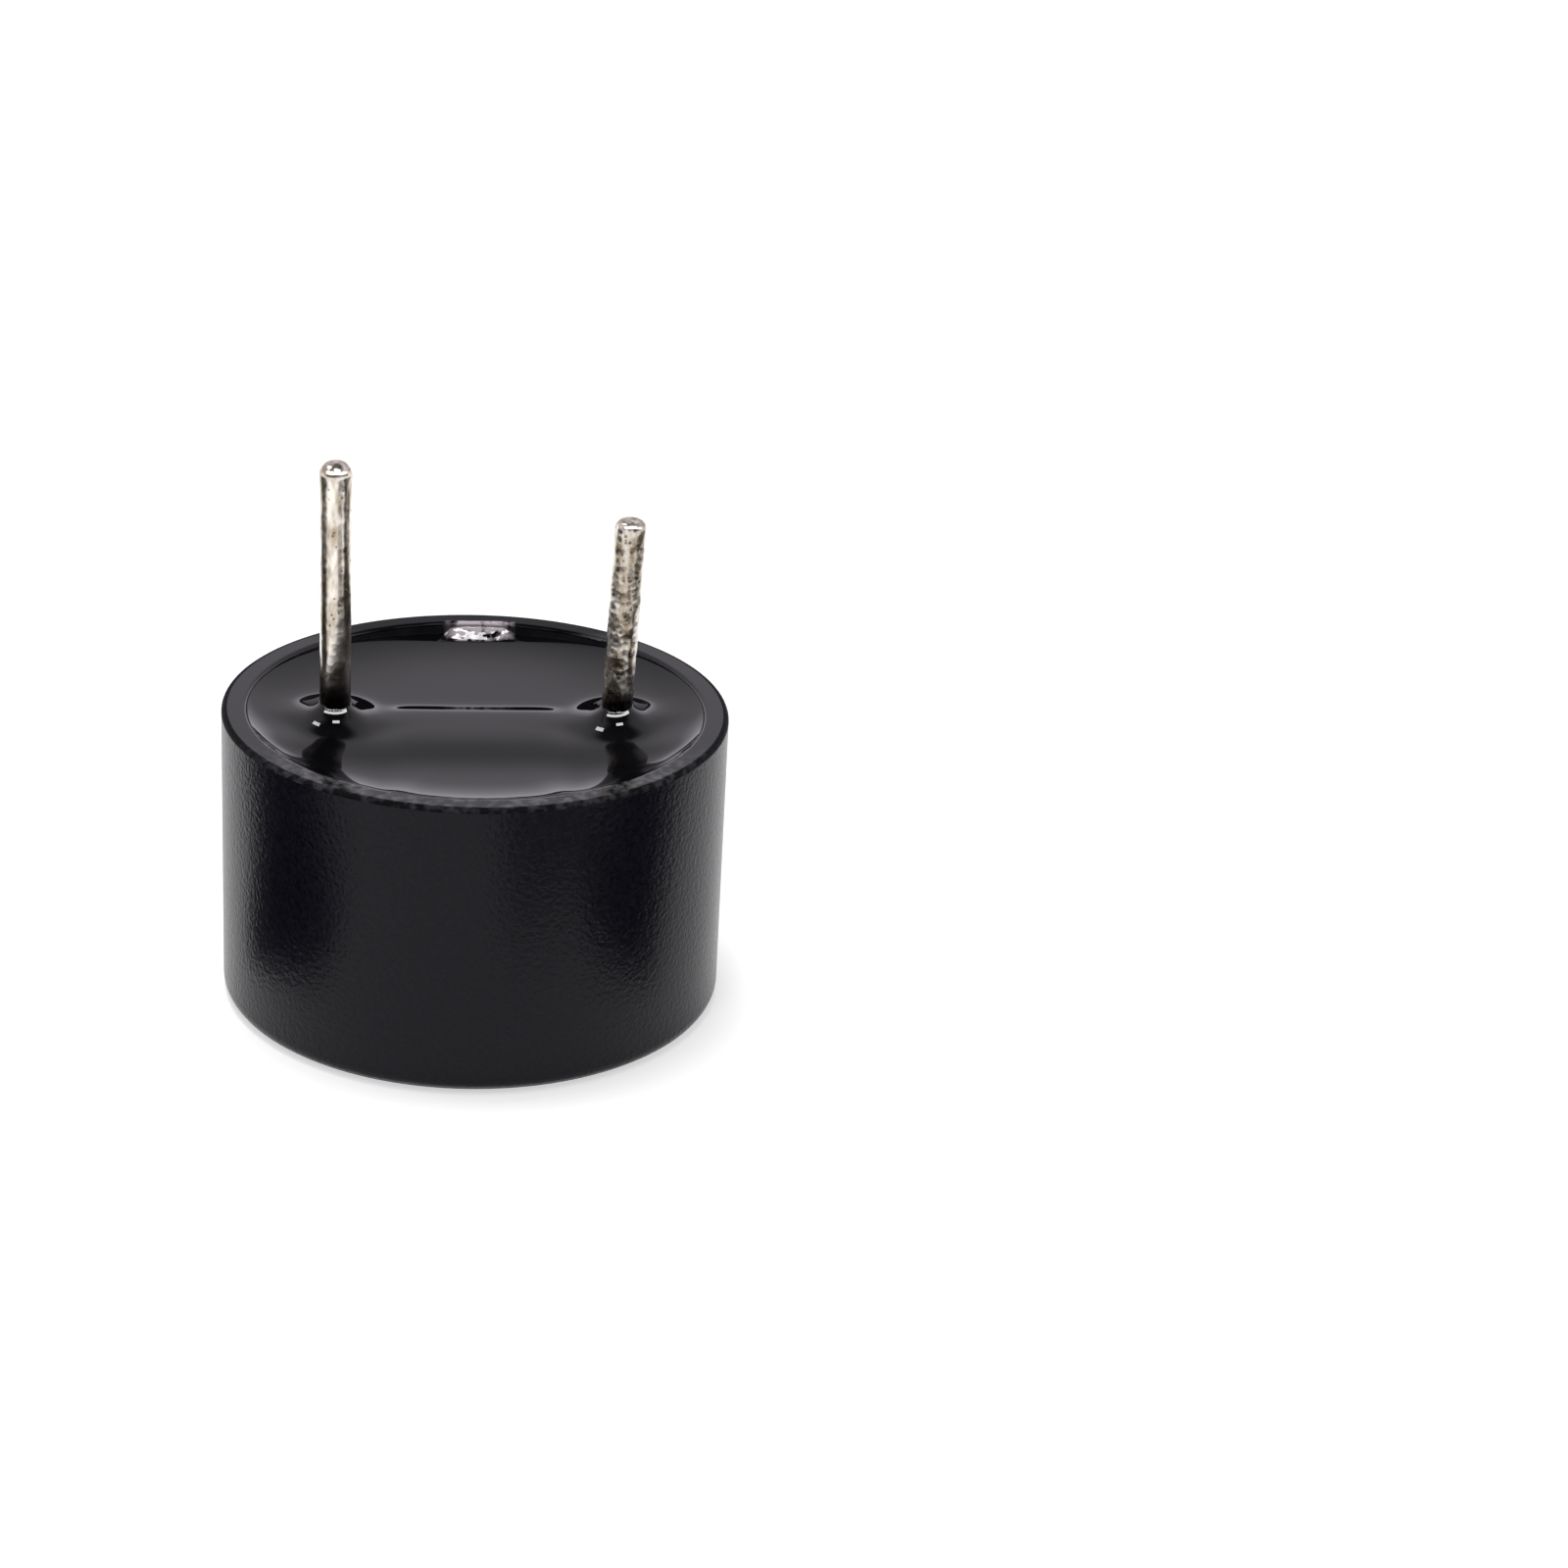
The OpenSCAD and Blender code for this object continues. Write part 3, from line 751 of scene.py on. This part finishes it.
# %% Finishes of the inner metals
# Zinc on stamped iron: a cool grey sheen.
plated_iron = grained(
    "zinc_plated_iron", "#8d8b86", "#b3b1ab",
    grain_mm=0.5, rough=(0.28, 0.45), relief=(0.003, 0.1), metallic=1.0,
)
# Solder that set from a melt: bright, with soft lumps.
bright_solder = grained(
    "bright_solder", "#a9a8a4", "#d5d4cf",
    grain_mm=0.3, rough=(0.12, 0.3), relief=(0.004, 0.12), metallic=1.0,
)
# Tin on copper leads: a duller silver.
tinned_copper = grained(
    "tinned_copper_lead", "#a19d95", "#ccc8bf",
    grain_mm=0.2, rough=(0.2, 0.35), relief=(0.002, 0.06), metallic=1.0,
)
# Rolled strip: smooth, with a warm grey tone.
spring_steel = grained(
    "rolled_spring_steel", "#a5a39b", "#c4c1b8",
    grain_mm=0.6, rough=(0.2, 0.35), relief=(0.001, 0.05), metallic=1.0,
)
# Magnet powder bound in plastic: dark, half metallic grains.
bonded_magnet = grained(
    "bonded_magnet", "#4a4743", "#67635d",
    grain_mm=0.08, rough=(0.45, 0.65), relief=(0.006, 0.05), metallic=0.5,
)
# A tan coat on the iron disc: matt and pale in the dark sound hole.
tan_coat = grained(
    "tan_coated_iron", "#d9bd95", "#f0dcbc",
    grain_mm=0.3, rough=(0.5, 0.7), relief=(0.004, 0.06),
)
inner_metals = [plated_iron, bright_solder, tinned_copper, spring_steel, bonded_magnet, tan_coat]
print("inner metals:", [finish.name for finish in inner_metals])

# %% Finishes of the other inner pieces
# Moulded nylon: dark and satin.
nylon = grained(
    "moulded_nylon_ring", "#303033", "#3d3d40",
    grain_mm=0.4, rough=(0.4, 0.55), relief=(0.002, 0.05),
)
# Filled epoxy of a package: dull black.
package_epoxy = grained(
    "moulded_epoxy_package", "#1a1a1c", "#262628",
    grain_mm=0.05, rough=(0.5, 0.65), relief=(0.003, 0.03),
)
# Fired alumina: off-white and matt.
alumina = grained(
    "alumina_ceramic", "#dedacf", "#f1eee6",
    grain_mm=0.1, rough=(0.4, 0.55), relief=(0.002, 0.03),
)
inner_finishes = {
    "armature_disc": tan_coat,
    "diaphragm": spring_steel,
    "support_ring": nylon,
    "magnet_ring": bonded_magnet,
    "pole_core": plated_iron,
    "yoke_plate": plated_iron,
    "feedback_winding": copper,
    "drive_winding": copper,
    "coil_leads": copper,
    "circuit_board": laminate,
    "coil_solder": bright_solder,
    "pin_solder": bright_solder,
    "transistor_body": package_epoxy,
    "transistor_leads": tinned_copper,
    "resistor_body": alumina,
    "resistor_caps": tinned_copper,
}
for node, finish in inner_finishes.items():
    packed = frame["nodes"][node].data
    packed.materials.clear()
    packed.materials.append(finish)
print("inner finishes:", len(inner_finishes))

# %% [markdown]
# ## Floor and cards
# The buzzer stands on a white sheet. The sheet glows for the camera and in reflections, so that it is
# white without flooding the buzzer with light, and its diffuse part keeps the soft shadow. A photographer
# lays cards on the table, out of the picture, to draw dark bands on shiny things. Here two black cards
# lie at the sides and a grey one in front. They show in reflections only, and their near edges follow the
# bands on the side of the case.

# %% Floor and cards
floor_z, floor_r, floor_corners = -0.02, 260, 128
floor_glow, floor_albedo = 0.58, 0.7
card_z = 0.1
left_card = [
    (-8, -7), (-6, -4.6), (-6, -0.8), (-7.2, 0.4), (-9.6, 1.5), (-12, 2.8), (-22, 14), (-34, 14), (-34, -9),
]
right_card = [(7.5, -9.5), (6, -7), (6, -3.4), (13, -1.2), (17, 1), (20, 14), (34, 14), (34, -16)]
grey_card = [(2, -11), (4, -24), (18, -20), (10, -9)]


def stage_piece(name, points, faces, finish):
    """A piece of the stage, which isn't part of the buzzer, from points in millimetres."""
    mesh = bpy.data.meshes.new(name)
    mesh.from_pydata(points * MM, [], faces.tolist())
    mesh.materials.append(finish)
    piece = bpy.data.objects.new(name, mesh)
    bpy.context.scene.collection.objects.link(piece)
    print(f"stage: {name}")
    return piece


def flat_piece(name, outline, z, finish):
    """A flat stage piece with this outline at a level."""
    outline = np.array(outline, float)
    points = np.hstack([outline, np.full((len(outline), 1), z)])
    return stage_piece(name, points, np.arange(len(outline))[None], finish)


def only_reflected(piece):
    """Hides a piece from the camera, diffuse light and shadows, so that only reflections show it."""
    piece.visible_camera = False
    piece.visible_diffuse = False
    piece.visible_shadow = False


def white_sheet(name):
    """White paper: a diffuse part for the shadow, and a glow for camera, glossy and transmission rays."""
    finish = bpy.data.materials.new(name)
    finish.use_nodes = True
    tree = finish.node_tree
    tree.nodes.remove(tree.nodes["Principled BSDF"])
    ray = add(tree, "ShaderNodeLightPath", {}).outputs
    seen = add(tree, "ShaderNodeMath", {0: ray["Is Camera Ray"], 1: ray["Is Glossy Ray"]}, operation="ADD")
    seen = add(tree, "ShaderNodeMath", {0: seen.outputs[0], 1: ray["Is Transmission Ray"]}, operation="ADD")
    power = add(tree, "ShaderNodeMath", {0: seen.outputs[0], 1: floor_glow}, operation="MULTIPLY")
    light = add(tree, "ShaderNodeEmission", {"Strength": power.outputs[0]})
    paper = add(tree, "ShaderNodeBsdfDiffuse", {"Color": (floor_albedo, floor_albedo, floor_albedo, 1)})
    both = add(tree, "ShaderNodeAddShader", {0: light.outputs[0], 1: paper.outputs[0]})
    tree.links.new(both.outputs[0], tree.nodes["Material Output"].inputs["Surface"])
    return finish


round_angles = np.linspace(0, 2 * np.pi, floor_corners, endpoint=False)
floor_outline = floor_r * np.stack([np.cos(round_angles), np.sin(round_angles)], 1)
flat_piece("floor", floor_outline, floor_z, white_sheet("white_paper"))
# Dull card: dark or grey in reflections, with hardly any shine of its own.
card_black = grained("black_card", "#060606", "#0a0a0a", grain_mm=5, rough=(0.7, 0.9), specular=0.1)
card_grey = grained("grey_card", "#8a8a8a", "#949494", grain_mm=5, rough=(0.7, 0.9), specular=0.1)
only_reflected(flat_piece("left_card", left_card, card_z, card_black))
only_reflected(flat_piece("right_card", right_card, card_z, card_black))
only_reflected(flat_piece("grey_card", grey_card, card_z, card_grey))

# %% [markdown]
# ## Light
# The world is a plain light tent: bright all round and brighter at the horizon, with a dim roof and an
# opening on the camera's side. The resin mirrors it, and its slopes alone turn it into lighter and darker
# patches. The camera itself sees it white. Bent strips of light in front draw the thin crescents and the
# spots under the pins. They show in a first reflection only, so that the mirror images of the pins in the
# resin stay dark. Two softboxes, which show in no reflection, give the soft light and the shadow.

# %% World
world = bpy.data.worlds.new("studio")
bpy.context.scene.world = world
world.use_nodes = True
sky = world.node_tree
tent_glow, tent_dim = 0.58, 0.08
roof_starts, roof_ends = np.sin(np.radians([50, 70]))
gap_starts, gap_ends = 0.0, -0.5
low_gain, low_ends = 2.2, 0.3
look = add(sky, "ShaderNodeTexCoord", {}).outputs["Generated"]
way = add(sky, "ShaderNodeSeparateXYZ", {0: look}).outputs
roof = {"From Min": roof_starts, "From Max": roof_ends, "To Min": tent_glow, "To Max": tent_dim * tent_glow}
roof = add(sky, "ShaderNodeMapRange", {"Value": way["Z"], **roof}, interpolation_type="SMOOTHSTEP")
gap = {"From Min": gap_ends, "From Max": gap_starts, "To Min": tent_dim, "To Max": 1.0}
gap = add(sky, "ShaderNodeMapRange", {"Value": way["Y"], **gap}, interpolation_type="SMOOTHSTEP")
low = {"From Min": 0.0, "From Max": low_ends, "To Min": low_gain, "To Max": 1.0}
low = add(sky, "ShaderNodeMapRange", {"Value": way["Z"], **low})
level = {0: roof.outputs["Result"], 1: gap.outputs["Result"]}
level = add(sky, "ShaderNodeMath", level, operation="MULTIPLY").outputs[0]
level = add(sky, "ShaderNodeMath", {0: level, 1: low.outputs["Result"]}, operation="MULTIPLY").outputs[0]
seen = add(sky, "ShaderNodeLightPath", {}).outputs["Is Camera Ray"]
level = add(sky, "ShaderNodeMath", {0: level, 1: seen}, operation="MAXIMUM").outputs[0]
tint = {0: seen, 6: linear("#fbf6ff"), 7: linear("#ffffff")}
tint = add(sky, "ShaderNodeMix", tint, data_type="RGBA").outputs[2]
sky.links.new(tint, sky.nodes["Background"].inputs["Color"])
sky.links.new(level, sky.nodes["Background"].inputs["Strength"])
print("world:", world.name)

# %% Strips of light
strip_distance, strip_columns, first_reflection = 300, 49, 1.5


def strip_light(name, glow):
    """Light that shows in a first reflection only: it glows where the ray has bounced once at most."""
    finish = bpy.data.materials.new(name)
    finish.use_nodes = True
    finish.cycles.emission_sampling = "NONE"
    tree = finish.node_tree
    depth = add(tree, "ShaderNodeLightPath", {}).outputs["Ray Depth"]
    first = add(tree, "ShaderNodeMath", {0: depth, 1: first_reflection}, operation="LESS_THAN").outputs[0]
    power = add(tree, "ShaderNodeMath", {0: first, 1: glow}, operation="MULTIPLY").outputs[0]
    light = add(tree, "ShaderNodeEmission", {"Strength": power})
    tree.links.new(light.outputs[0], tree.nodes["Material Output"].inputs["Surface"])
    return finish


def light_strip(name, slopes, turns, glow):
    """A bent strip of light, placed where round collars of these slopes and turns, in degrees, mirror it.

    A normal n that leans by the slope, turned from side to side, mirrors the line of sight d to
    d - 2 (d . n) n.
    """
    side = np.radians(np.linspace(*turns, strip_columns))
    lean = np.radians(slopes)[:, None]
    normal = [np.sin(lean) * np.sin(side), -np.sin(lean) * np.cos(side), np.cos(lean) + 0 * side]
    normal = np.stack(normal, axis=-1)
    mirrored = forward - 2 * (normal @ forward)[..., None] * normal
    quads = np.arange(strip_columns - 1)[:, None] + [0, 1, strip_columns + 1, strip_columns]
    points = strip_distance * mirrored.reshape(-1, 3)
    only_reflected(stage_piece(name, points, quads, strip_light(name, glow)))


light_strip("light_strip", slopes=(57.5, 60.5), turns=(-38, 38), glow=16)
light_strip("middle_spot", slopes=(44.5, 48.5), turns=(-8, 8), glow=16)
light_strip("left_spot", slopes=(36, 40.5), turns=(-48, -33), glow=12)

# %% Softboxes
def softbox(name, place, size, radiance, colour):
    """A square lamp turned to the buzzer, kept out of reflections: its power is radiance x area x pi."""
    lamp = bpy.data.lights.new(name, "AREA")
    lamp.shape = "SQUARE"
    lamp.size = size * MM
    lamp.energy = radiance * np.pi * (size * MM) ** 2
    lamp.color = linear(colour)[:3]
    box = bpy.data.objects.new(name, lamp)
    bpy.context.scene.collection.objects.link(box)
    box.location = Vector(place) * MM
    box.rotation_euler = (Vector((0, 0, case_h * MM)) - box.location).to_track_quat("-Z", "Y").to_euler()
    box.visible_camera = False
    box.visible_glossy = False


softbox("front_softbox", place=(-60, -200, 480), size=110, radiance=10, colour="#fff8f4")
softbox("top_softbox", place=(-40, 40, 620), size=150, radiance=26, colour="#ffffff")
